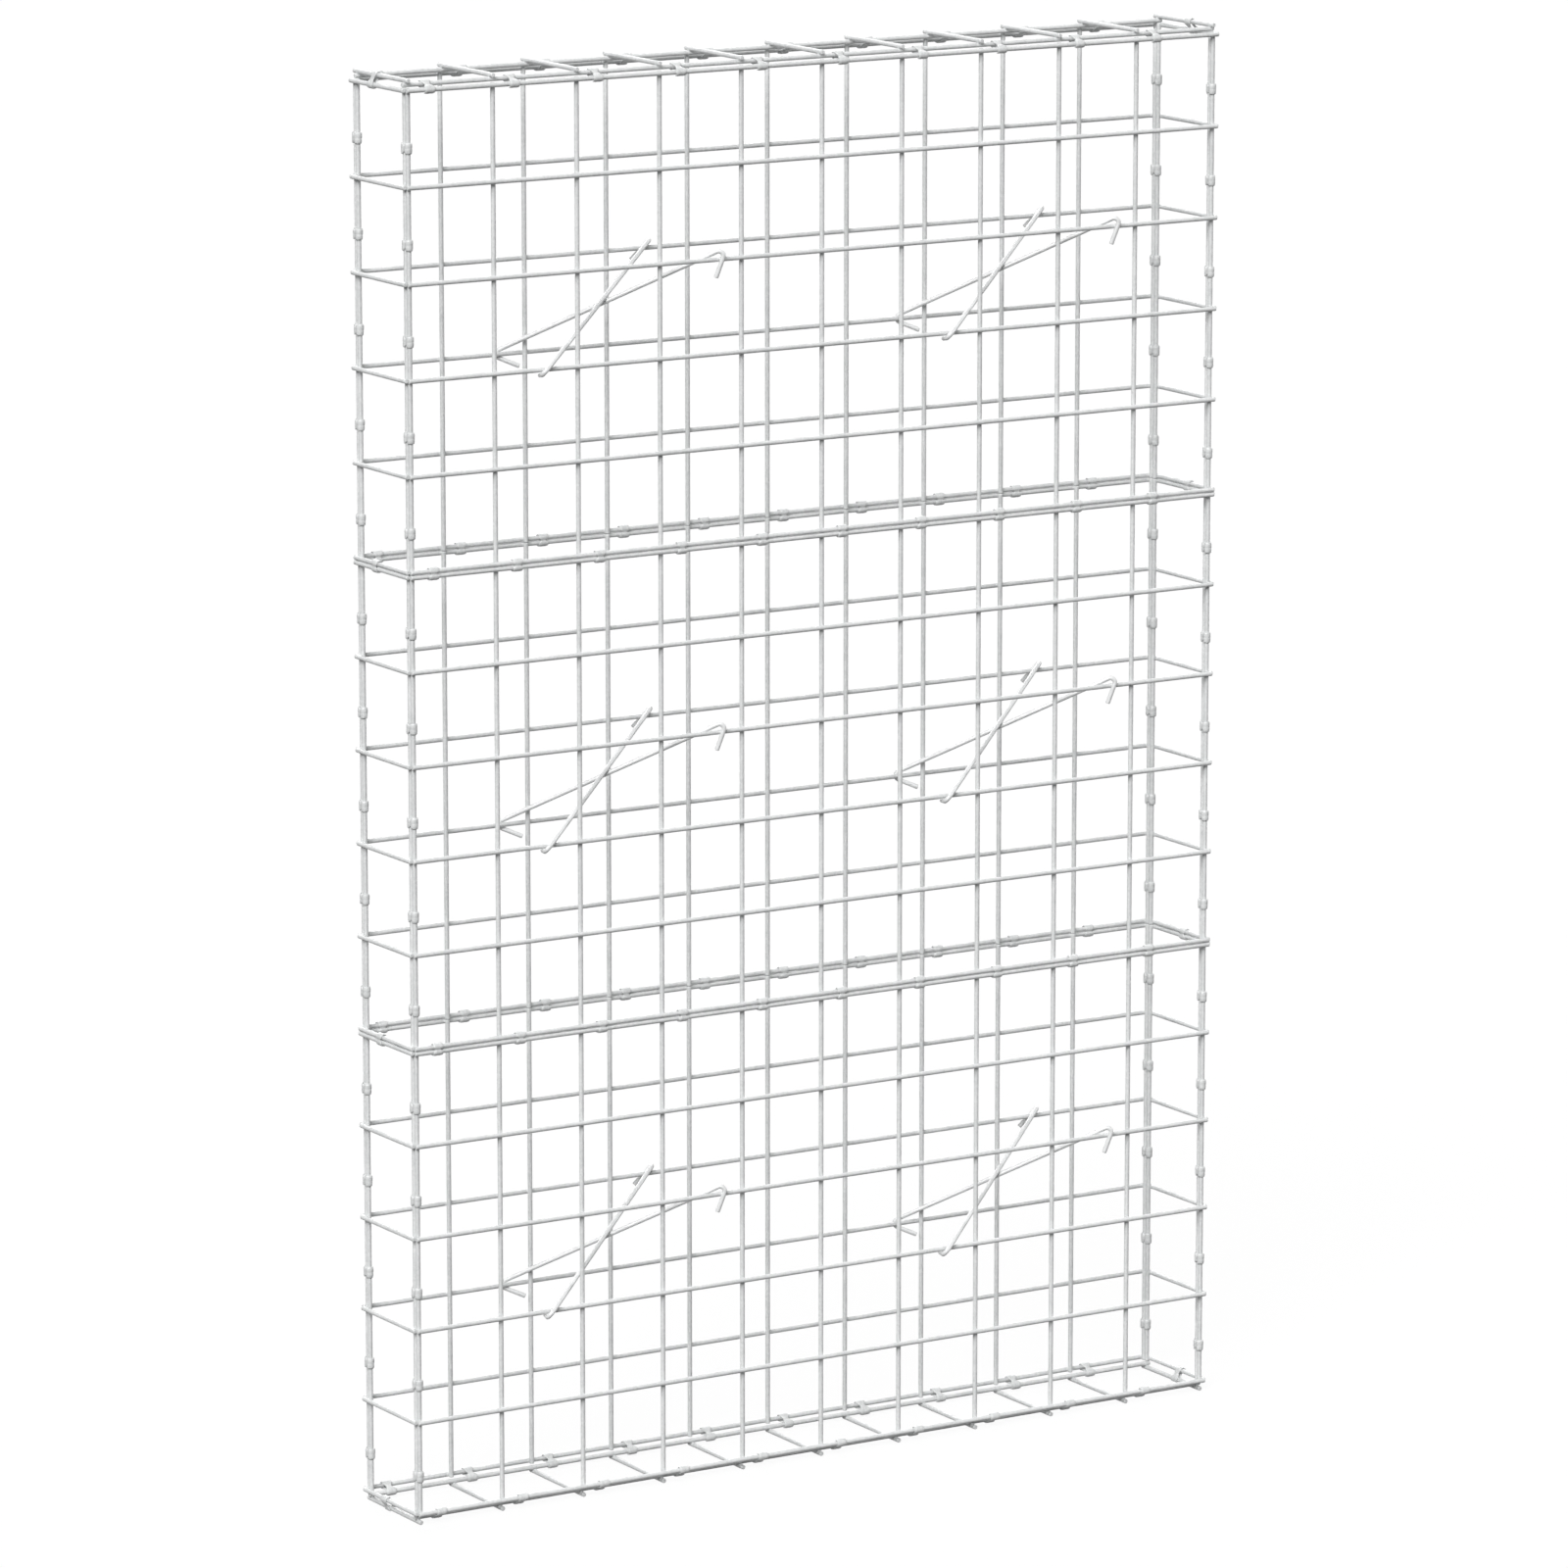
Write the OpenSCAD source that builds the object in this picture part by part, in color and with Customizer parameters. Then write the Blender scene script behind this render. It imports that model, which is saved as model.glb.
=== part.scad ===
// Welded wire gabion wall: three stacked mesh cages, closed above and below, tied across inside.
// Millimetres. X runs along the wall, Y through it (front at minus Y), Z up from the ground.

/* [Wall] */
// Mesh opening, wire centre to wire centre
cell = 100; // [90:1:120]
// Openings along the wall
bays = 10; // [9:1:12]
// Openings in the height of one cage
rows = 5; // [4:1:6]
// Distance between the upright wires of the front and back panels
upright_spacing = 110; // [105:1:125]

/* [Wire] */
// Diameter of the mesh wire
wire_d = 5; // [4.5:0.1:5.2]
// Sides of a mesh wire
wire_sides = 8; // [8:4:12]
// How far two crossing wires sink into each other at a weld
weld_bite = 0.4; // [0.3:0.05:0.6]
// Clearance between wires that only lie side by side
lie_gap = 0.2; // [0.15:0.05:0.3]
// Wire left past the last weld of a long wire
rail_tail = 4; // [3:0.5:4.5]
// Shortfall of an upright's cut end below the edge of the last rail
upright_short = 0.1; // [0:0.05:0.3]
// Wire of the lid and base left past the line of the uprights
cross_tail = 2; // [0:0.5:4]
// Clearance from the end of an end panel's cross wire to the rail beside it
cross_gap = 0.3; // [0.2:0.05:1]

/* [Binding rings] */
// Wall thickness of a ring
ring_t = 1.6; // [1.2:0.1:2]
// Clearance of a ring around its two wires
ring_gap = 0.3; // [0.26:0.02:0.4]
// Length of one turn along the wire
ring_turn_l = 4.4; // [3.5:0.1:5]
// Pitch of the two turns
ring_pitch = 5.4; // [5.2:0.1:6]
// Slit between the ends of a turn
ring_slit = 0.8; // [0.4:0.1:1.2]
// Width of the step that carries the wire from one turn to the next
ring_step_w = 1.6; // [1.2:0.1:2]
// Distance of each ring from the upright at its left
ring_from_upright = 22.5; // [15:0.5:30]
// Height of each ring over the rail below it
ring_over_rail = 40.5; // [15:0.5:60]
// Distance of the single end rings from the middle of the wall
ring_off_middle = 10; // [0:1:20]
// Height over the ground at which the lowest end rings are cut open
ring_ground = 0.3; // [0.2:0.1:1]

/* [Tie rods] */
// Diameter of a tie rod
tie_d = 5; // [4.5:0.1:5]
// Bend radius of a hook, to the middle of the rod
hook_r = 5; // [4.5:0.1:5.5]
// Angle through which a hook is bent back
hook_turn = 134; // [130:1:138]
// Extra diameter that a bend keeps from being bent
hook_swell = 0.1; // [0.06:0.02:0.16]
// Depth to which the straight rod reaches into a bend
hook_root = 0.4; // [0.2:0.1:0.4]
// Length of a hook's leg from the corner of the bend
hook_leg = 34.5; // [30:0.5:40]
// Clearance of a hook around the rail that it holds
hook_gap = 0.25; // [0.2:0.05:0.4]
// Turn of the front tie about its own length
front_tie_roll = 48; // [45:1:51]
// Extra height at which the front tie passes over its rails, to clear the rear tie
front_tie_ride = 2.55; // [2.5:0.05:2.8]
// Low end of the rear tie from the left end of the wall, in openings
rear_tie_low = 1.64; // [1.63:0.005:1.66]
// High end of the rear tie from the left end of the wall, in openings
rear_tie_high = 3.745; // [3.74:0.005:3.77]
// Low end of the front tie from the left end of the wall, in openings
front_tie_low = 1.465; // [1.45:0.005:1.47]
// High end of the front tie from the left end of the wall, in openings
front_tie_high = 3.61; // [3.6:0.005:3.62]
// Distance from the left pair of ties to the right pair, in openings
tie_pair_step = 5; // [4:1:5]
// Rail that the low hooks hold, counted up from the bottom of a cage
low_rail = 2; // [1:1:2]

/* [Hidden] */
$fn = 48;

zinc = [0.80, 0.82, 0.82];
front = -1;
back = 1;
left = -1;
right = 1;
lower = 0;
middle = 1;
upper = 2;
cages = 3;

wire_r = wire_d / 2;
wall_l = bays * cell;
cage_h = rows * cell;
// Layers of a welded mesh lie one weld step apart; loose wires lie one lie step apart.
weld_step = wire_d - weld_bite;
lie_step = wire_d + lie_gap;
cage_pitch = cage_h + lie_step;

// Front and back panels: rails outside their uprights.
upright_y = upright_spacing / 2;
rail_y = upright_y + weld_step;
// End panels: uprights just inside the corner uprights, cross wires outside them.
end_upright_x = wall_l / 2 + lie_step - weld_step;
end_upright_y = upright_y - lie_step;
end_cross_x = wall_l / 2 + lie_step;
end_cross_l = 2 * (rail_y - wire_r - cross_gap);
// Base and lid: long wires against the cages, cross wires outside them.
bottom_z = wire_r + weld_step + lie_step;
top_z = bottom_z + (cages - 1) * cage_pitch + cage_h;
flat_long_y = end_upright_y;
flat_cross_l = 2 * (upright_y + cross_tail);

// The high hooks hold the next rail up.
high_rail = low_rail + 1;

ring_in = wire_r + ring_gap;
ring_out = ring_in + ring_t;
end_cross_gap = norm([end_upright_x - wall_l / 2, lie_step]);

function cage_z(cage) = bottom_z + cage * cage_pitch;
function upright_x(i) = (i - bays / 2) * cell;
function from_left(openings) = (openings - bays / 2) * cell;
function unit(v) = v / norm(v);
function away(line, out) = let (n = [-line.y, line.x]) n * sign(n * out);

// Where two lines of the Y-Z view meet that pass a rail at the given distances, the rail inside.
function hook_corner(rod, leg, rod_off, leg_off) =
    let (
        a = unit([rod.y, rod.z]),
        b = unit([leg.y, leg.z]),
        na = away(a, a - b),
        nb = away(b, a - b),
        det = na.x * nb.y - na.y * nb.x
    )
    [0, rod_off * nb.y - leg_off * na.y, leg_off * na.x - rod_off * nb.x] / det;

// The side of a rod to which both hooks are bent: downwards, then rolled about the rod.
function bend_side(rod, roll) =
    let (down = unit(rod * rod.z - [0, 0, 1]))
    cos(roll) * down + sin(roll) * cross(rod, down);

// Both hook corners of a tie, settled by turns because the rod's slope depends on them.
function tie_corners(low, high, roll, rod_off, leg_off, low_at, high_at, turns) =
    let (
        rod = unit(high - low),
        side = bend_side(rod, roll),
        low_leg = sin(hook_turn) * side - cos(hook_turn) * rod,
        high_leg = sin(hook_turn) * side + cos(hook_turn) * rod,
        new_low = low_at + hook_corner(-rod, low_leg, rod_off, leg_off),
        new_high = high_at + hook_corner(rod, high_leg, rod_off, leg_off)
    )
    turns == 0 ? [low, high]
    : tie_corners(new_low, new_high, roll, rod_off, leg_off, low_at, high_at, turns - 1);

// A straight mesh wire along Z, flats facing the other wires.
module wire(length) {
    rotate([0, 0, 180 / wire_sides])
        cylinder(h = length, d = wire_d / cos(180 / wire_sides), center = true, $fn = wire_sides);
}

module wire_along_x(length) {
    rotate([0, 90, 0])
        wire(length);
}

module wire_along_y(length) {
    rotate([90, 0, 0])
        wire(length);
}

// Long side of one cage: uprights one opening apart, rails welded across their outside.
module long_panel(cage, side) {
    color(zinc)
    translate([0, 0, cage_z(cage)]) {
        for (i = [0 : bays])
            translate([upright_x(i), side * upright_y, cage_h / 2])
                wire(cage_h + wire_d - 2 * upright_short);
        for (n = [0 : rows])
            translate([0, side * rail_y, n * cell])
                wire_along_x(wall_l + 2 * rail_tail);
    }
}

// Short side of one cage: two uprights with cross wires welded to their outside.
module end_panel(cage, end) {
    color(zinc)
    translate([0, 0, cage_z(cage)]) {
        for (side = [front, back])
            translate([end * end_upright_x, side * end_upright_y, cage_h / 2])
                wire(cage_h + wire_d - 2 * upright_short);
        for (n = [0 : rows])
            translate([end * end_cross_x, 0, n * cell])
                wire_along_y(end_cross_l);
    }
}

// Base or lid: two long wires against the cage and cross wires on their outer side.
module flat_panel(at_z, outward) {
    color(zinc)
    translate([0, 0, at_z]) {
        for (side = [front, back])
            translate([0, side * flat_long_y, outward * lie_step])
                wire_along_x(wall_l + 2 * rail_tail);
        for (i = [0 : bays])
            translate([upright_x(i), 0, outward * (lie_step + weld_step)])
                wire_along_y(flat_cross_l);
    }
}

// Round rod bent back to a hook at both ends, in the plane of the rod and its bend side.
module tie_rod(low, high, roll) {
    rod = unit(high - low);
    side = bend_side(rod, roll);
    turned = cross(rod, side);
    length = norm(high - low);
    trim = hook_r * tan(hook_turn / 2);
    multmatrix([
        [rod.x, side.x, turned.x, low.x],
        [rod.y, side.y, turned.y, low.y],
        [rod.z, side.z, turned.z, low.z],
        [0, 0, 0, 1]
    ]) {
        translate([trim - hook_root, 0, 0])
            rotate([0, 90, 0])
                cylinder(h = length - 2 * (trim - hook_root), d = tie_d);
        translate([length - trim, hook_r, 0])
            rotate([0, 0, -90])
                hook_bend();
        translate([trim, hook_r, 0])
            rotate([0, 0, 270 - hook_turn])
                hook_bend();
        translate([length, 0, 0])
            rotate([0, 0, hook_turn])
                hook_end(trim);
        rotate([0, 0, 180 - hook_turn])
            hook_end(trim);
    }
}

module hook_bend() {
    rotate_extrude(angle = hook_turn)
        translate([hook_r, 0])
            circle(d = tie_d + hook_swell);
}

module hook_end(trim) {
    translate([trim - hook_root, 0, 0])
        rotate([0, 90, 0])
            cylinder(h = hook_leg - trim + hook_root, d = tie_d);
}

// A tie whose low hook holds a rail on one side and its high hook the next rail up on the other.
module tie(cage, pair, low_side, low_x, high_x, roll, ride) {
    low_at = [from_left(low_x + pair * tie_pair_step), low_side * rail_y, low_rail * cell];
    high_at = [from_left(high_x + pair * tie_pair_step), -low_side * rail_y, high_rail * cell];
    leg_off = wire_r + (tie_d + hook_swell) / 2 + hook_gap;
    ends = tie_corners(low_at, high_at, roll, leg_off + ride, leg_off, low_at, high_at, 24);
    color(zinc)
    translate([0, 0, cage_z(cage)])
        tie_rod(ends[0], ends[1], roll);
}

module rear_tie(cage, pair) {
    tie(cage, pair, back, rear_tie_low, rear_tie_high, 0, 0);
}

module front_tie(cage, pair) {
    tie(cage, pair, front, front_tie_low, front_tie_high, front_tie_roll, front_tie_ride);
}

// Outline around two wires that lie side by side along X.
module ring_outline(span, radius) {
    square([span, 2 * radius], center = true);
    for (s = [-1, 1])
        translate([s * span / 2, 0])
            circle(r = radius);
}

// One binding ring, its wires along Z: two turns, slit on one side, with a step between them.
module ring(span, slit = ring_slit) {
    for (s = [-1, 1])
        translate([0, 0, s * ring_pitch / 2])
            linear_extrude(height = ring_turn_l, center = true)
                difference() {
                    ring_outline(span, ring_out);
                    ring_outline(span, ring_in);
                    if (slit > 0)
                        translate([0, ring_in + ring_t / 2])
                            square([slit, 2 * ring_t], center = true);
                }
    translate([(slit + ring_step_w) / 2, ring_in + ring_t / 2, 0])
        cube([ring_step_w, ring_t, ring_pitch], center = true);
}

// Rings around two wires along X, the second one across and up from the first.
// Their slits face the inside of the wall or downwards.
module rings_along(at_z, across, up, side) {
    span = norm([across, up]);
    color(zinc)
    for (i = [0 : bays - 1])
        translate([upright_x(i) + ring_from_upright, side * (rail_y - across / 2), at_z + up / 2])
            rotate([0, 0, side == front ? 90 : -90])
                rotate([90, 0, 0])
                    rotate([0, 0, atan2(up, across)])
                        mirror([0, 1, 0])
                            ring(span);
}

module joint_rings(joint, side) {
    rings_along(cage_z(joint) + cage_h, 0, lie_step, side);
}

// Rings around a rail and the nearest long wire of the base or the lid.
module edge_rings(at_z, outward, side) {
    rings_along(at_z, weld_step + lie_step, outward * lie_step, side);
}

module corner_rings(end, side) {
    span = end_cross_gap;
    lean = atan2(end_upright_x - wall_l / 2, lie_step);
    color(zinc)
    for (cage = [lower : upper])
        for (n = [0 : rows - 1])
            translate([
                end * (wall_l / 2 + end_upright_x) / 2,
                side * (upright_y + end_upright_y) / 2,
                cage_z(cage) + n * cell + ring_over_rail
            ])
                rotate([0, 0, 90 + side * end * lean])
                    mirror([0, end == left ? 1 : 0, 0])
                        ring(span);
}

// Rings around two wires along Y at an end of the wall.
module end_ring(at_z, across, up, end, slit = ring_slit) {
    span = norm([across, up]);
    translate([end * (end_cross_x - across / 2), -end * ring_off_middle, at_z + up / 2])
        rotate([0, 0, end == left ? 0 : 180])
            rotate([90, 0, 0])
                rotate([0, 0, atan2(up, across)])
                    ring(span, slit);
}

module end_rings(end) {
    across = end_cross_x - wall_l / 2;
    up = lie_step + weld_step;
    color(zinc) {
        for (joint = [lower, middle])
            end_ring(cage_z(joint) + cage_h, 0, lie_step, end);
        end_ring(top_z, across, up, end);
        // The lowest ring is left open underneath, so that the base wires reach the ground.
        difference() {
            end_ring(bottom_z, across, -up, end, 0);
            translate([end * end_cross_x, 0, ring_ground - ring_out])
                cube([cell, cell, 2 * ring_out], center = true);
        }
    }
}

long_panel(lower, front);  // front_panel_lower
long_panel(lower, back);  // back_panel_lower
end_panel(lower, left);  // left_end_lower
end_panel(lower, right);  // right_end_lower
long_panel(middle, front);  // front_panel_middle
long_panel(middle, back);  // back_panel_middle
end_panel(middle, left);  // left_end_middle
end_panel(middle, right);  // right_end_middle
long_panel(upper, front);  // front_panel_upper
long_panel(upper, back);  // back_panel_upper
end_panel(upper, left);  // left_end_upper
end_panel(upper, right);  // right_end_upper
flat_panel(bottom_z, -1);  // base_panel
flat_panel(top_z, 1);  // lid_panel
rear_tie(lower, 0);  // rear_tie_lower_left
front_tie(lower, 0);  // front_tie_lower_left
rear_tie(lower, 1);  // rear_tie_lower_right
front_tie(lower, 1);  // front_tie_lower_right
rear_tie(middle, 0);  // rear_tie_middle_left
front_tie(middle, 0);  // front_tie_middle_left
rear_tie(middle, 1);  // rear_tie_middle_right
front_tie(middle, 1);  // front_tie_middle_right
rear_tie(upper, 0);  // rear_tie_upper_left
front_tie(upper, 0);  // front_tie_upper_left
rear_tie(upper, 1);  // rear_tie_upper_right
front_tie(upper, 1);  // front_tie_upper_right
edge_rings(bottom_z, -1, front);  // rings_base_front
edge_rings(bottom_z, -1, back);  // rings_base_back
joint_rings(lower, front);  // rings_lower_joint_front
joint_rings(lower, back);  // rings_lower_joint_back
joint_rings(middle, front);  // rings_upper_joint_front
joint_rings(middle, back);  // rings_upper_joint_back
edge_rings(top_z, 1, front);  // rings_lid_front
edge_rings(top_z, 1, back);  // rings_lid_back
corner_rings(left, front);  // rings_front_left
corner_rings(right, front);  // rings_front_right
corner_rings(left, back);  // rings_back_left
corner_rings(right, back);  // rings_back_right
end_rings(left);  // rings_left_end
end_rings(right);  // rings_right_end
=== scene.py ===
import math

import bmesh
import bpy
from mathutils import Matrix, Vector


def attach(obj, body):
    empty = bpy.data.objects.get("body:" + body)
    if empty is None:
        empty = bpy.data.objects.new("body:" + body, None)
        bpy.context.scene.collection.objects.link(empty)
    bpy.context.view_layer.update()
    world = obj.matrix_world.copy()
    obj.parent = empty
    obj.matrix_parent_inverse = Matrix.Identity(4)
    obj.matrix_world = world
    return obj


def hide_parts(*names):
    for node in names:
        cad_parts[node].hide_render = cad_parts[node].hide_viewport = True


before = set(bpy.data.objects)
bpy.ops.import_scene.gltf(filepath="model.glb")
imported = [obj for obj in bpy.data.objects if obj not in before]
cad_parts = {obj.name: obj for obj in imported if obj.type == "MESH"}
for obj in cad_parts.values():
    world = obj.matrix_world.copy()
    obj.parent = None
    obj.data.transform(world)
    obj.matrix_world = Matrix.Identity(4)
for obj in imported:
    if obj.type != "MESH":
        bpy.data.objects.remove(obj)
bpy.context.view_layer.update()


# Base panel: the mesh that the wall stands on, two long wires with eleven cross wires under them.
# Drawn 5 mm steel wire, sheared to length, spot welded at every crossing and then dipped in zinc,
# so a small bead fills the corners of each crossing and the zinc lies cloudy over everything.
mm = 0.001
cell = 100 * mm
bays = 10
wall_l = bays * cell
wire_r = 2.5 * mm
wire_sides = 20
weld_step = 4.6 * mm  # between two welded layers: the wires sink 0.4 mm into each other
lie_step = 5.2 * mm  # between wires that only lie side by side
wire_past_weld = 4 * mm
long_wire_l = wall_l + 2 * wire_past_weld
upright_y = 55 * mm
inner_y = upright_y - lie_step
cross_past_upright = 2 * mm
cross_wire_l = 2 * (upright_y + cross_past_upright)
wire_end = [(0, 0.72), (0.3 * mm, 0.94), (0.8 * mm, 1), (1.6 * mm, 1)]  # distance, share of radius
bead_r = 2.7 * mm
bead_depth = 1.5 * mm
bead_uneven = 0.07
upright_xs = [(i - bays / 2) * cell for i in range(bays + 1)]


def skin(bm, loops, distances, girth):
    """Faces between the loops of a wire and over its two ends, unrolled along and around it."""
    unrolled = bm.loops.layers.uv.verify()
    count = len(loops[0])
    for a, b, at_a, at_b in zip(loops, loops[1:], distances, distances[1:]):
        for i in range(count):
            j = (i + 1) % count
            face = bm.faces.new((a[i], a[j], b[j], b[i]))
            spots = ((at_a, i), (at_a, i + 1), (at_b, i + 1), (at_b, i))
            for corner, (along, step) in zip(face.loops, spots):
                corner[unrolled].uv = (along, girth * step / count)
    for rim in (loops[0][::-1], loops[-1]):
        bm.faces.new(rim)


def around(count):
    """Cosine and sine of each corner of a wire's section."""
    angles = [2 * math.pi * i / count for i in range(count)]
    return [(math.cos(a), math.sin(a)) for a in angles]


def lay_wire(bm, start, end):
    """One straight wire, sheared square at both ends with the burr rolled off."""
    start, end = Vector(start), Vector(end)
    length = (end - start).length
    turn = (end - start).to_track_quat("Z", "Y")
    steps = wire_end + [(length - at, share) for at, share in reversed(wire_end)]
    loops = []
    for at, share in steps:
        rim = [Vector((c, s, 0)) * wire_r * share for c, s in around(wire_sides)]
        loops.append([bm.verts.new(start + turn @ (p + Vector((0, 0, at)))) for p in rim])
    first = 7 * start.x + 11 * start.y + 13 * start.z  # no two wires show the same streaks
    skin(bm, loops, [first + at for at, share in steps], 2 * math.pi * wire_r)


def spot_weld(bm, at, through):
    """The bead squeezed out where two wires are pressed into each other, a little uneven."""
    at = Vector(at)
    other = Vector((731, 1277, 977))  # differs from bead to bead
    uneven = 1 + bead_uneven * math.sin(at.dot(other))
    bead = Matrix.Diagonal((bead_r * uneven, bead_r / uneven, bead_depth, 1))
    turn = Vector(through).to_track_quat("Z", "Y").to_matrix().to_4x4()
    made = bmesh.ops.create_icosphere(
        bm, subdivisions=2, radius=1, matrix=Matrix.Translation(at) @ turn @ bead
    )
    for vert in made["verts"]:
        for face in vert.link_faces:
            face.material_index = 1


def put_in_wall(name, bm, node, slot, *coats):
    """Makes a piece of the finished mesh, in place of the plain solid of the same piece."""
    mesh = bpy.data.meshes.new(name)
    bm.to_mesh(mesh)
    bm.free()
    for face in mesh.polygons:
        face.use_smooth = len(face.vertices) <= 4
    for coat in coats:
        mesh.materials.append(coat)
    piece = bpy.data.objects.new(name, mesh)
    bpy.context.collection.objects.link(piece)
    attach(piece, "root")
    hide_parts(node)


def linear(code):
    """The linear colour of an sRGB hex code."""
    parts = [int(code[i : i + 2], 16) / 255 for i in (1, 3, 5)]
    return [*(c / 12.92 if c <= 0.04045 else ((c + 0.055) / 1.055) ** 2.4 for c in parts), 1]


def add(tree, kind, inputs, **settings):
    """Adds a node, with a value or the output that feeds it for each input named."""
    node = tree.nodes.new("ShaderNode" + kind)
    for name, value in settings.items():
        setattr(node, name, value)
    for socket, value in inputs.items():
        if isinstance(value, bpy.types.NodeSocket):
            tree.links.new(value, node.inputs[socket])
        else:
            node.inputs[socket].default_value = value
    return node


# Zinc on steel wire gives the eye a pale, nearly neutral grey with a soft sheen: small crystals of
# slightly different brightness, cloudy patches where it has dulled, and faint lines along the wire
# from the drawing die. The crystals and lines are drawn a little coarse, to show in the render.
def zinc(name, bright, dull, crystal, patch, die_line, metallic, roughness, relief):
    line_l = 60 * mm
    ripple_l = 1.4 * mm
    crystal_tone, line_tone = 0.22, 0.35
    tones = {"From Min": 0.3, "From Max": 1.05}  # from fully dull to fully bright
    gloss_swing = 0.07
    line_rise = 0.5  # as a share of the ripple's

    coat = bpy.data.materials.new(name)
    coat.use_nodes = True
    tree = coat.node_tree
    tree.nodes.clear()
    where = add(tree, "TexCoord", {})
    spot, unrolled = where.outputs["Object"], where.outputs["UV"]

    crystals = add(tree, "TexVoronoi", {"Vector": spot, "Scale": 1 / crystal})
    shade = add(tree, "SeparateColor", {"Color": crystals.outputs["Color"]}).outputs[0]
    swing = {"To Min": -crystal_tone, "To Max": crystal_tone}
    facets = add(tree, "MapRange", {"Value": shade, **swing}).outputs["Result"]
    patches = {"Vector": spot, "Scale": 1 / patch, "Detail": 4}
    clouds = add(tree, "TexNoise", patches).outputs["Fac"]
    clouded = add(tree, "Math", {0: clouds, 1: facets}, operation="ADD").outputs[0]

    stretch = {0: unrolled, 1: (1 / line_l, 1 / die_line, 0)}
    drawn = add(tree, "VectorMath", stretch, operation="MULTIPLY").outputs[0]
    lines = add(tree, "TexNoise", {"Vector": drawn, "Scale": 1, "Detail": 2}).outputs["Fac"]
    lined = {0: lines, 1: line_tone, 2: clouded}
    tone = add(tree, "Math", lined, operation="MULTIPLY_ADD").outputs[0]

    bare = add(tree, "MapRange", {"Value": tone, **tones}).outputs["Result"]
    # A Mix of colours has its share at 0, the colours at 6 and 7, and the mixed colour at 2.
    greys = {0: bare, 6: linear(dull), 7: linear(bright)}
    colour = add(tree, "Mix", greys, data_type="RGBA").outputs[2]
    sheen = {"To Min": roughness + gloss_swing, "To Max": roughness - gloss_swing}
    gloss = add(tree, "MapRange", {"Value": tone, **tones, **sheen}).outputs["Result"]

    waves = {"Vector": spot, "Scale": 1 / ripple_l, "Detail": 3}
    ripple = add(tree, "TexNoise", waves).outputs["Fac"]
    uneven = {0: lines, 1: line_rise, 2: ripple}
    rise = add(tree, "Math", uneven, operation="MULTIPLY_ADD").outputs[0]
    bump = add(tree, "Bump", {"Strength": 0.5, "Distance": relief, "Height": rise})
    surface = {
        "Base Color": colour,
        "Metallic": metallic,
        "Roughness": gloss,
        "Specular IOR Level": 0.2,
        "Normal": bump.outputs["Normal"],
    }
    shader = add(tree, "BsdfPrincipled", surface)
    add(tree, "OutputMaterial", {"Surface": shader.outputs["BSDF"]})
    return coat


zinc_on_mesh_wire = zinc(
    "zinc_on_mesh_wire",
    "#E4E5E5",
    "#D0D2D2",
    crystal=2.6 * mm,
    patch=34 * mm,
    die_line=0.5 * mm,
    metallic=0.08,
    roughness=0.46,
    relief=0.05 * mm,
)
# On the beads the zinc gathers, so it looks a shade darker there, rougher and more broken up.
zinc_on_weld = zinc(
    "zinc_on_weld",
    "#D8D9D9",
    "#C3C5C5",
    crystal=1.6 * mm,
    patch=5 * mm,
    die_line=0.5 * mm,
    metallic=0.08,
    roughness=0.55,
    relief=0.12 * mm,
)


def flat_panel(name, node, long_z, outward):
    """Two long wires at the height of long_z, with cross wires on their outer side."""
    bm = bmesh.new()
    cross_z = long_z + outward * weld_step
    for y in (-inner_y, inner_y):
        lay_wire(bm, (-long_wire_l / 2, y, long_z), (long_wire_l / 2, y, long_z))
    for x in upright_xs:
        lay_wire(bm, (x, -cross_wire_l / 2, cross_z), (x, cross_wire_l / 2, cross_z))
        for y in (-inner_y, inner_y):
            spot_weld(bm, (x, y, (long_z + cross_z) / 2), (0, 0, 1))
    put_in_wall(name, bm, node, "mesh_wire", zinc_on_mesh_wire, zinc_on_weld)


flat_panel("base_mesh", "base_panel", wire_r + weld_step, -1)


# Front and back panels of the three cages: eleven uprights, with six rails across their outside.
# The same welded and dipped mesh; the rails run 4 mm past the last upright and the uprights end
# level with the lowest and highest rail. Each cage stands with its rails on those of the one below.
rows = 5
cage_h = rows * cell
cage_pitch = cage_h + lie_step
rail_y = upright_y + weld_step
first_row_z = wire_r + weld_step + lie_step
upright_past_rail = 2.4 * mm
upright_l = cage_h + 2 * upright_past_rail
cages = {"lower": 0, "middle": 1, "upper": 2}
row_z = {cage: first_row_z + i * cage_pitch for cage, i in cages.items()}
sides = {"front": -1, "back": 1}

for cage, z in row_z.items():
    for side, way in sides.items():
        bm = bmesh.new()
        for x in upright_xs:
            middle = Vector((x, way * upright_y, z + cage_h / 2))
            reach = Vector((0, 0, upright_l / 2))
            lay_wire(bm, middle - reach, middle + reach)
        for n in range(rows + 1):
            middle = Vector((0, way * rail_y, z + n * cell))
            reach = Vector((long_wire_l / 2, 0, 0))
            lay_wire(bm, middle - reach, middle + reach)
            for x in upright_xs:
                at = (x, way * (upright_y + weld_step / 2), z + n * cell)
                spot_weld(bm, at, (0, way, 0))
        name, node = f"{side}_mesh_{cage}", f"{side}_panel_{cage}"
        put_in_wall(name, bm, node, "mesh_wire", zinc_on_mesh_wire, zinc_on_weld)


# End panels of the three cages: two uprights just inside the corner uprights of the long panels,
# with six short wires welded across their outside, so that each cage is closed at both ends.
# Mesh of the same wire; the short wires stop just inside the rails of the long panels.
end_upright_x = wall_l / 2 + lie_step - weld_step
end_cross_x = wall_l / 2 + lie_step
rail_gap = 0.3 * mm
end_cross_l = 2 * (rail_y - wire_r - rail_gap)
ends = {"left": -1, "right": 1}

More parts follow.
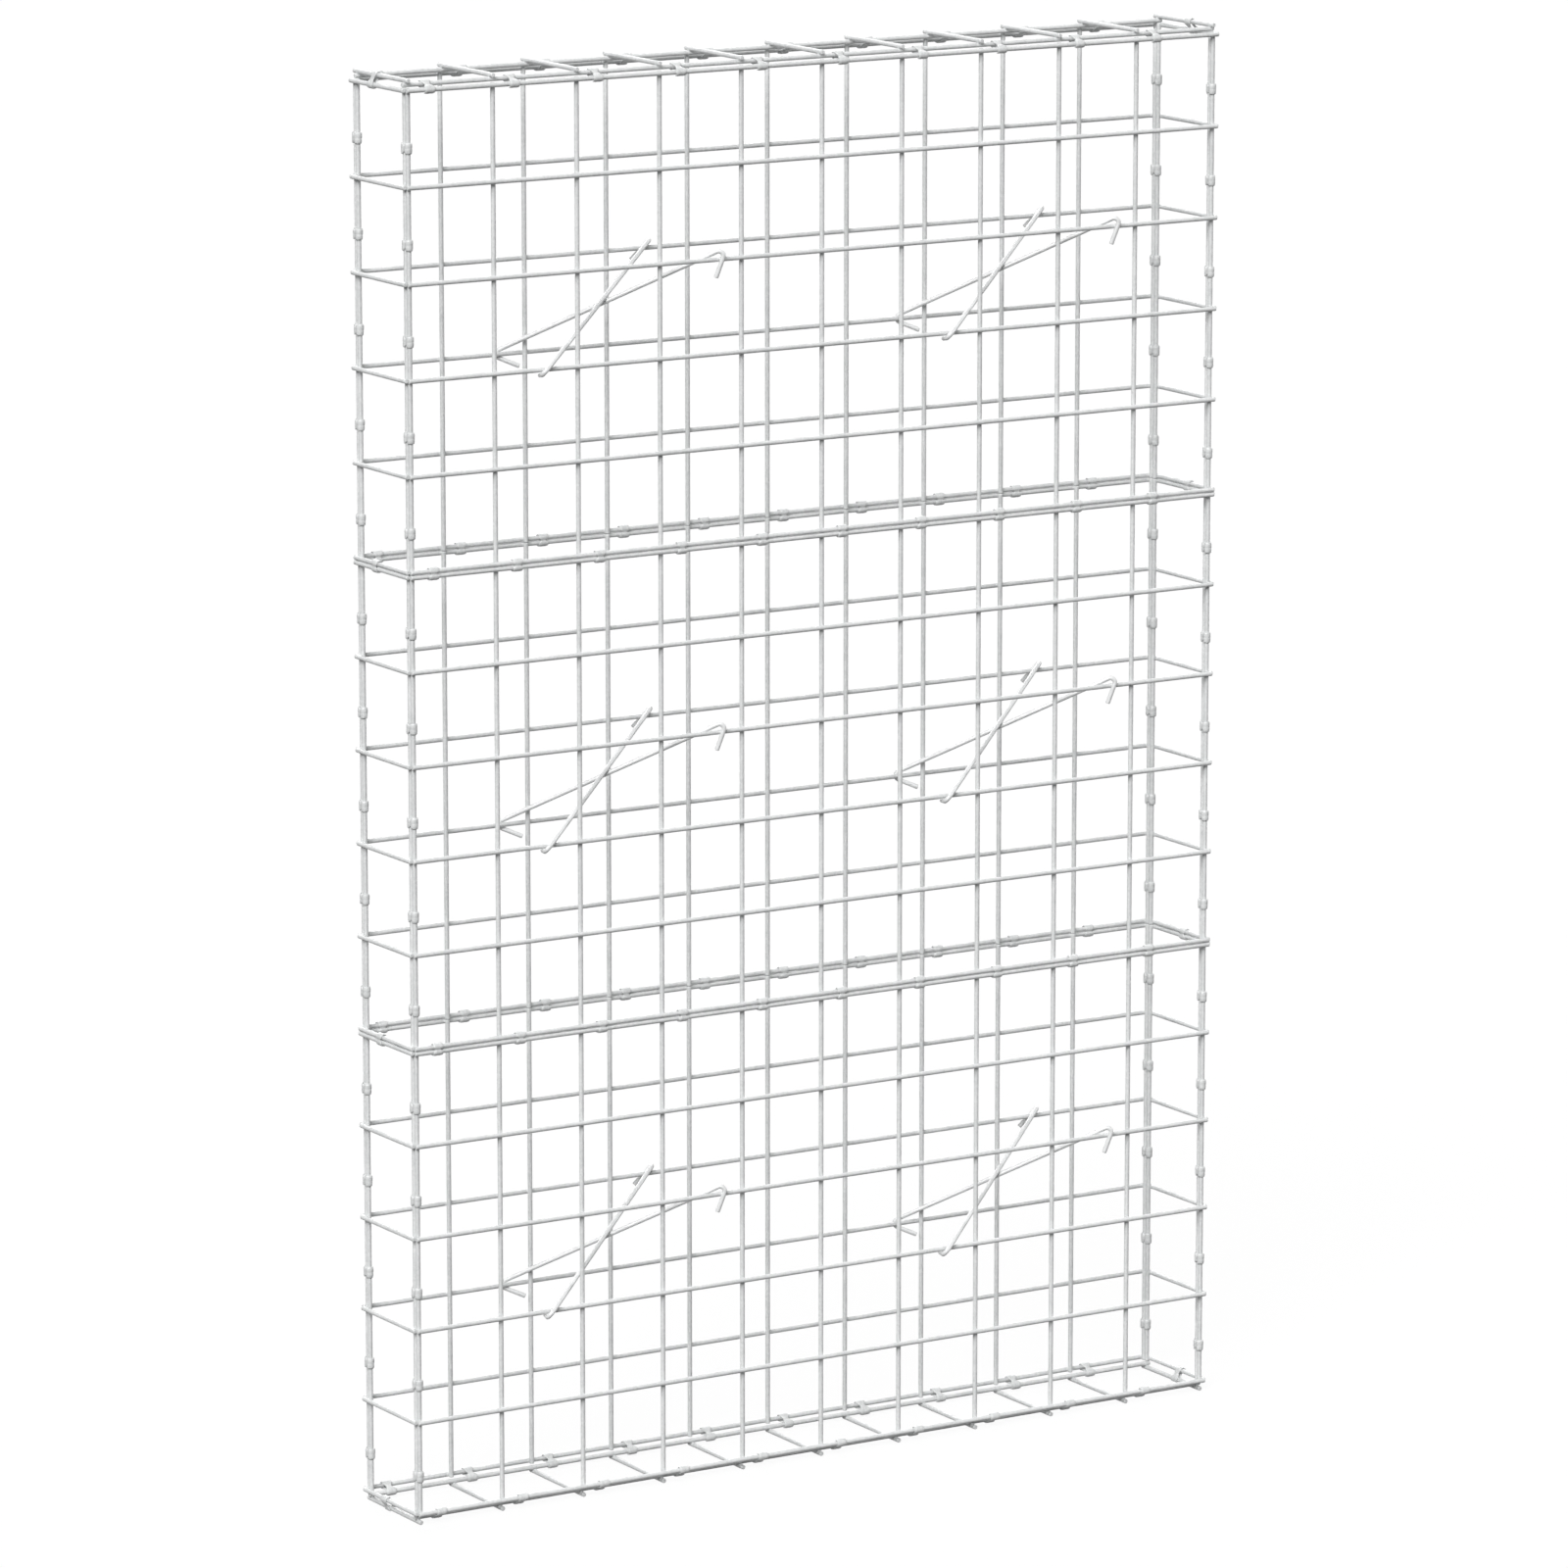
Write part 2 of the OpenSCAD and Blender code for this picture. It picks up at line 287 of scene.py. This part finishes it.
for cage, z in row_z.items():
    for end, way in ends.items():
        bm = bmesh.new()
        for y in (-inner_y, inner_y):
            middle = Vector((way * end_upright_x, y, z + cage_h / 2))
            reach = Vector((0, 0, upright_l / 2))
            lay_wire(bm, middle - reach, middle + reach)
        for n in range(rows + 1):
            middle = Vector((way * end_cross_x, 0, z + n * cell))
            reach = Vector((0, end_cross_l / 2, 0))
            lay_wire(bm, middle - reach, middle + reach)
            for y in (-inner_y, inner_y):
                at = (way * (end_upright_x + end_cross_x) / 2, y, z + n * cell)
                spot_weld(bm, at, (way, 0, 0))
        name, node = f"{end}_end_mesh_{cage}", f"{end}_end_{cage}"
        put_in_wall(name, bm, node, "mesh_wire", zinc_on_mesh_wire, zinc_on_weld)


# Tie rods: round 5 mm rods across the inside, bent back to a hook at each end, that keep the long
# panels from bulging. One hook holds a rail of one panel, the other the next rail up of the panel
# opposite. Drawn rod, zinc plated and bent cold, so it is smoother and brighter than the mesh.
tie_r = 2.5 * mm
rod_end = [(0, 0.74), (0.3 * mm, 0.94), (0.8 * mm, 1), (1.6 * mm, 1)]  # distance, share of radius
hook_r = 5 * mm
hook_turn = math.radians(134)
hook_steps = 18
hook_leg = 34.5 * mm
hook_swell = 0.1 * mm  # room for the rod to thicken in its bends
hook_gap = 0.25 * mm
leg_off = wire_r + tie_r + hook_swell / 2 + hook_gap
low_rail = 2
tie_pair_step = 5

# Plating gives the eye an even, light grey with fine crystals, little cloud and more shine.
plated_tie_rod = zinc(
    "plated_tie_rod",
    "#EAEBEB",
    "#DADBDB",
    crystal=1.2 * mm,
    patch=30 * mm,
    die_line=0.5 * mm,
    metallic=0.1,
    roughness=0.4,
    relief=0.03 * mm,
)


def bend_side(rod, roll):
    """The side to which both hooks are bent: downwards, then rolled about the rod."""
    down = (rod * rod.z - Vector((0, 0, 1))).normalized()
    return math.cos(roll) * down + math.sin(roll) * rod.cross(down)


def hook_legs(low, high, roll):
    """The way that the rod runs, and the ways of its low and its high hook's leg."""
    rod = (high - low).normalized()
    side = bend_side(rod, roll)
    across, back = math.sin(hook_turn) * side, math.cos(hook_turn) * rod
    return rod, across - back, across + back


def hook_corner(rod, leg, rod_off, leg_off):
    """Seen along the rail: where the rod and leg meet that pass the rail at these distances."""
    a = Vector((rod.y, rod.z)).normalized()
    b = Vector((leg.y, leg.z)).normalized()
    normals = []
    for line in (a, b):
        normal = Vector((-line.y, line.x))
        normals.append(normal if normal.dot(a - b) > 0 else -normal)
    na, nb = normals
    det = na.x * nb.y - na.y * nb.x
    y = (rod_off * nb.y - leg_off * na.y) / det
    return Vector((0, y, (leg_off * na.x - rod_off * nb.x) / det))


def tie_corners(low_at, high_at, roll, ride):
    """Both hook corners, settled in rounds because the rod's slope depends on them."""
    rounds = 24
    low, high = low_at, high_at
    for _ in range(rounds):
        rod, low_leg, high_leg = hook_legs(low, high, roll)
        low, high = (
            low_at + hook_corner(-rod, low_leg, leg_off + ride, leg_off),
            high_at + hook_corner(rod, high_leg, leg_off + ride, leg_off),
        )
    return low, high


def tie_path(low, high, roll):
    """The middle of the bent rod, from the end of the low hook to the end of the high one."""
    rod, low_leg, high_leg = hook_legs(low, high, roll)
    trim = hook_r * math.tan(hook_turn / 2)
    path = [low + low_leg * (hook_leg - at) for at, share in rod_end]
    side = bend_side(rod, roll)
    bend = [hook_turn * i / hook_steps for i in range(hook_steps + 1)]
    low_middle = low + rod * trim + side * hook_r
    high_middle = high - rod * trim + side * hook_r
    for a in reversed(bend):
        path.append(low_middle - (rod * math.sin(a) + side * math.cos(a)) * hook_r)
    for a in bend:
        path.append(high_middle + (rod * math.sin(a) - side * math.cos(a)) * hook_r)
    path += [high + high_leg * (hook_leg - at) for at, share in reversed(rod_end)]
    return path, rod.cross(side)


def bent_rod(bm, path, normal):
    """The rod along its path, which lies in the plane of this normal."""
    shares = [share for at, share in rod_end]
    shares += [1] * (len(path) - 2 * len(rod_end)) + shares[::-1]
    loops, distances = [], []
    travelled = 17 * path[0].x + 5 * path[0].z  # no two rods show the same streaks
    for i, (point, share) in enumerate(zip(path, shares)):
        ahead = path[min(i + 1, len(path) - 1)] - path[max(i - 1, 0)]
        level = ahead.normalized().cross(normal)
        rim = [(c * level - s * normal) * tie_r * share for c, s in around(wire_sides)]
        loops.append([bm.verts.new(point + offset) for offset in rim])
        travelled += (point - path[i - 1]).length if i else 0
        distances.append(travelled)
    skin(bm, loops, distances, 2 * math.pi * tie_r)


# For each tie of a pair: the side of its low hook, the places of its low and its high hook along
# the wall, in openings from the left end, the roll of its hooks, and how far the rod rides off.
ties = {
    "rear": (1, 1.64, 3.745, 0, 0),
    "front": (-1, 1.465, 3.61, math.radians(48), 2.55 * mm),
}
for cage, z in row_z.items():
    for pair, end in enumerate(ends):
        for tie, (low_side, low_x, high_x, roll, ride) in ties.items():
            at_x = [(x + pair * tie_pair_step - bays / 2) * cell for x in (low_x, high_x)]
            low_at = Vector((at_x[0], low_side * rail_y, z + low_rail * cell))
            high_at = Vector((at_x[1], -low_side * rail_y, z + (low_rail + 1) * cell))
            low, high = tie_corners(low_at, high_at, roll, ride)
            bm = bmesh.new()
            bent_rod(bm, *tie_path(low, high, roll))
            node = f"{tie}_tie_{cage}_{end}"
            put_in_wall(node.replace("tie", "tie_rod"), bm, node, "tie_wire", plated_tie_rod)


# Lid: the same welded and dipped mesh as the base, turned over, so that its cross wires are the top
# of the wall. Its long wires lie inside the highest rails, a wire's width up, and are bound to
# them with rings.
top_row_z = row_z["upper"] + cage_h
flat_panel("lid_mesh", "lid_panel", top_row_z + lie_step, 1)


# Rings along the edges and joints: one in each opening, a little right of an upright. Each is two
# turns of flattened zinc-coated wire, wound around two long wires and pressed with pliers, so that
# the turns meet in one sleeve and are drawn in between the wires. The slope between them is behind.
ring_mid = 3.5 * mm
ring_half_w = 3.8 * mm
ring_half_t = 0.8 * mm
ring_pitch = 4.2 * mm
ring_pinch = 0.7 * mm
ring_drawn_in, ring_narrowed = 0.6, 0.35  # at the pinch, as shares of the pitch and the width
slope_share = 0.27  # of one turn
slope_gap = 0.5 * mm
strand_end = [(0, 0.7), (0.25 * mm, 0.94), (0.7 * mm, 1)]  # distance, share of thickness
strand_steps = 66
strand_sides = 12
strand_girth = 10 * mm
ring_from_upright = 22.5 * mm

# On the rings the zinc gives the eye the pale grey of the mesh, broken up smaller by the pliers.
zinc_on_ring_wire = zinc(
    "zinc_on_ring_wire",
    "#E2E3E3",
    "#CCCECE",
    crystal=1.4 * mm,
    patch=9 * mm,
    die_line=0.4 * mm,
    metallic=0.08,
    roughness=0.44,
    relief=0.06 * mm,
)


def wind_ring(bm, place, span):
    """One ring in its own axes: the two wires along Z, span apart along X, the slope at +Y."""
    arc = math.pi * ring_mid
    turn_l = 2 * (span + arc)
    slope_l = slope_share * turn_l

    def on_outline(u):
        """Point, outward direction and share of the pinch, at u along the outline from +Y."""
        u = u % turn_l
        for start, length, shape in (
            (0, span / 2, "top"),
            (span / 2, arc, "right"),
            (span / 2 + arc, span, "bottom"),
            (3 * span / 2 + arc, arc, "left"),
            (3 * span / 2 + 2 * arc, span / 2, "top"),
        ):
            t = u - start
            if t <= length:
                break
        if shape in ("right", "left"):
            way = 1 if shape == "right" else -1
            a = math.pi * t / length
            out = Vector((way * math.sin(a), way * math.cos(a), 0))
            return Vector((way * span / 2, 0, 0)) + out * ring_mid, out, 0
        way = -1 if shape == "bottom" else 1
        x = t if start == 0 else (span / 2 - t if shape == "bottom" else t - span / 2)
        pinch = 0.5 + 0.5 * math.cos(2 * math.pi * x / span)
        return Vector((x, way * (ring_mid - ring_pinch * pinch), 0)), Vector((0, way, 0)), pinch

    first = slope_l / 2 + slope_gap
    last = 2 * turn_l - first
    marks = [first + at for at, share in strand_end]
    marks += [first + (last - first) * i / strand_steps for i in range(1, strand_steps)]
    marks += [last - at for at, share in reversed(strand_end)]
    shares = [share for at, share in strand_end]
    shares += [1] * (len(marks) - 2 * len(strand_end)) + shares[::-1]
    loops = []
    for u, share in zip(marks, shares):
        point, out, pinch = on_outline(u)
        t = min(1, max(0, (u - turn_l) / slope_l + 0.5))
        eased = t * t * (3 - 2 * t)
        point.z = ring_pitch * (eased - 0.5) * (1 - ring_drawn_in * pinch)
        half_w = ring_half_w * (1 - ring_narrowed * pinch)
        loop = []
        for c, s in around(strand_sides):
            offset = Vector((0, 0, -c * half_w)) + out * s * ring_half_t
            loop.append(bm.verts.new(place @ (point + offset * share)))
        loops.append(loop)
    shift = place.translation.x * 7 + place.translation.z * 3  # no two rings show the same streaks
    skin(bm, loops, [u + shift for u in marks], strand_girth)


def ring_place(at, slope_side, along):
    """Axes of a ring at a place, from the side that its slope faces and the wires' direction."""
    y, z = Vector(slope_side).normalized(), Vector(along).normalized()
    turned = Matrix((y.cross(z), y, z)).transposed().to_4x4()
    return Matrix.Translation(at) @ turned


# For each edge: the height of its first wire, and the way from there to the second one.
edges = {
    "base": (first_row_z, weld_step + lie_step, -lie_step),
    "lower_joint": (row_z["lower"] + cage_h, 0, lie_step),
    "upper_joint": (row_z["middle"] + cage_h, 0, lie_step),
    "lid": (top_row_z, weld_step + lie_step, lie_step),
}
for edge, (z, inwards, up) in edges.items():
    for side, way in sides.items():
        bm = bmesh.new()
        to_second = Vector((0, -way * inwards, up))
        behind = Vector((1, 0, 0)).cross(to_second)
        if behind.y < 0:
            behind = -behind
        for x in upright_xs[:-1]:
            at = Vector((x + ring_from_upright, way * rail_y, z)) + to_second / 2
            wind_ring(bm, ring_place(at, behind, (1, 0, 0)), to_second.length)
        name, node = f"binding_{edge}_{side}", f"rings_{edge}_{side}"
        put_in_wall(name, bm, node, "ring_wire", zinc_on_ring_wire)


# Rings at the four corners: one in each opening, a little below its middle. The same flattened
# wire, pressed around the corner upright of a long panel and the upright of the end panel beside
# it, with the slope on the right.
ring_over_rail = 40.5 * mm
for side, way in sides.items():
    for end, end_way in ends.items():
        bm = bmesh.new()
        corner = Vector((end_way * wall_l / 2, way * upright_y, 0))
        to_second = Vector((end_way * end_upright_x, way * inner_y, 0)) - corner
        behind = Vector((0, 0, 1)).cross(to_second)
        if behind.x < 0:
            behind = -behind
        for z in row_z.values():
            for n in range(rows):
                at = corner + to_second / 2 + Vector((0, 0, z + n * cell + ring_over_rail))
                wind_ring(bm, ring_place(at, behind, (0, 0, 1)), to_second.length)
        name, node = f"binding_{side}_{end}", f"rings_{side}_{end}"
        put_in_wall(name, bm, node, "ring_wire", zinc_on_ring_wire)


# Rings at the two ends: one at each joint and at the lid and base, pressed around two short wires.
# The same flattened wire. The lowest is left open underneath, so that the base wires still reach
# the ground.
ring_off_middle = 10 * mm
ring_ground = 0.3 * mm
end_inwards = end_cross_x - wall_l / 2
end_edges = [
    (first_row_z, end_inwards, -lie_step - weld_step),
    (row_z["lower"] + cage_h, 0, lie_step),
    (row_z["middle"] + cage_h, 0, lie_step),
    (top_row_z, end_inwards, lie_step + weld_step),
]
for end, way in ends.items():
    bm = bmesh.new()
    for z, inwards, up in end_edges:
        to_second = Vector((-way * inwards, 0, up))
        behind = Vector((0, 1, 0)).cross(to_second)
        if behind.x < 0:
            behind = -behind
        at = Vector((way * end_cross_x, -way * ring_off_middle, z)) + to_second / 2
        wind_ring(bm, ring_place(at, behind, (0, 1, 0)), to_second.length)
    bmesh.ops.bisect_plane(
        bm,
        geom=bm.verts[:] + bm.edges[:] + bm.faces[:],
        plane_co=(0, 0, ring_ground),
        plane_no=(0, 0, 1),
        clear_inner=True,
    )
    bmesh.ops.holes_fill(bm, edges=[e for e in bm.edges if e.is_boundary])
    put_in_wall(f"binding_{end}_end", bm, f"rings_{end}_end", "ring_wire", zinc_on_ring_wire)


# Ground: a plain pale studio floor, which takes the wall's soft shadow. It looks white to the
# camera and in reflections, and throws less light back at the undersides of the wires.
floor_half = 70
floor_white_share = 0.92
white = linear("#FFFFFF")
bm = bmesh.new()
for x, y in ((-1, -1), (1, -1), (1, 1), (-1, 1)):
    bm.verts.new((x * floor_half, y * floor_half, 0))
bm.faces.new(bm.verts)
floor_mesh = bpy.data.meshes.new("studio_floor")
bm.to_mesh(floor_mesh)
bm.free()
studio_floor = bpy.data.objects.new("studio_floor", floor_mesh)
bpy.context.collection.objects.link(studio_floor)


def seen_directly(tree):
    """1 where the camera, a reflection or a view through glass meets the surface, otherwise 0."""
    ray = add(tree, "LightPath", {}).outputs
    either = {0: ray["Is Camera Ray"], 1: ray["Is Glossy Ray"]}
    two = add(tree, "Math", either, operation="MAXIMUM").outputs[0]
    any_of = {0: two, 1: ray["Is Transmission Ray"]}
    return add(tree, "Math", any_of, operation="MAXIMUM").outputs[0]


# Matt floor paint: the eye gets an even white, with only the shadow to show where the ground is.
pale_floor = bpy.data.materials.new("pale_floor")
pale_floor.use_nodes = True
tree = pale_floor.node_tree
tree.nodes.clear()
seen = seen_directly(tree)
shades = {0: seen, 6: linear("#404040"), 7: white}
floor_colour = add(tree, "Mix", shades, data_type="RGBA").outputs[2]
paint = add(tree, "BsdfDiffuse", {"Color": floor_colour}).outputs[0]
bright = add(tree, "Emission", {"Color": white, "Strength": 1}).outputs[0]
share = add(tree, "Math", {0: seen, 1: floor_white_share}, operation="MULTIPLY").outputs[0]
floor_shader = add(tree, "MixShader", {0: share, 1: paint, 2: bright}).outputs[0]
add(tree, "OutputMaterial", {"Surface": floor_shader})
floor_mesh.materials.append(pale_floor)


# Light: a broad soft lamp above and to the left of the camera, weaker ones for the right side and
# the back of the wall, and a faint even glow all round, so that each wire is pale where it faces
# the upper left and shades off below. The surroundings look white.
lamp_spread = math.radians(40)
for name, strength, heading, height in (
    ("key_lamp", 3.55, 50, 37),
    ("side_lamp", 0.8, -75, 24),
    ("back_lamp", 1.8, 202, 26),
):
    lamp = bpy.data.lights.new(name, "SUN")
    lamp.energy = strength
    lamp.angle = lamp_spread
    soft_lamp = bpy.data.objects.new(name, lamp)
    soft_lamp.rotation_euler = (math.radians(90 - height), 0, math.radians(-heading))
    bpy.context.collection.objects.link(soft_lamp)

studio = bpy.data.worlds.new("studio")
bpy.context.scene.world = studio
studio.use_nodes = True
tree = studio.node_tree
tree.nodes.clear()
shades = {0: seen_directly(tree), 6: linear("#4A4A4A"), 7: white}
glow = add(tree, "Mix", shades, data_type="RGBA").outputs[2]
all_round = add(tree, "Background", {"Color": glow, "Strength": 1})
add(tree, "OutputWorld", {"Surface": all_round.outputs["Background"]})
bpy.context.scene.view_settings.view_transform = "Standard"


# Camera: a long lens, to the left of the wall and about a metre above its top, looking down on the
# lid. It stands far off, so that the uprights stay almost parallel in the picture.
downwards, rightwards = 11.42, 31.82  # degrees
view = bpy.data.cameras.new("view")
view.sensor_width = 36
view.lens = 190.37
view.clip_end = 400
camera = bpy.data.objects.new("view", view)
camera.location = (-4.6261, -7.4342, 2.5057)
camera.rotation_euler = (math.radians(90 - downwards), 0, math.radians(-rightwards))
bpy.context.collection.objects.link(camera)
bpy.context.scene.camera = camera
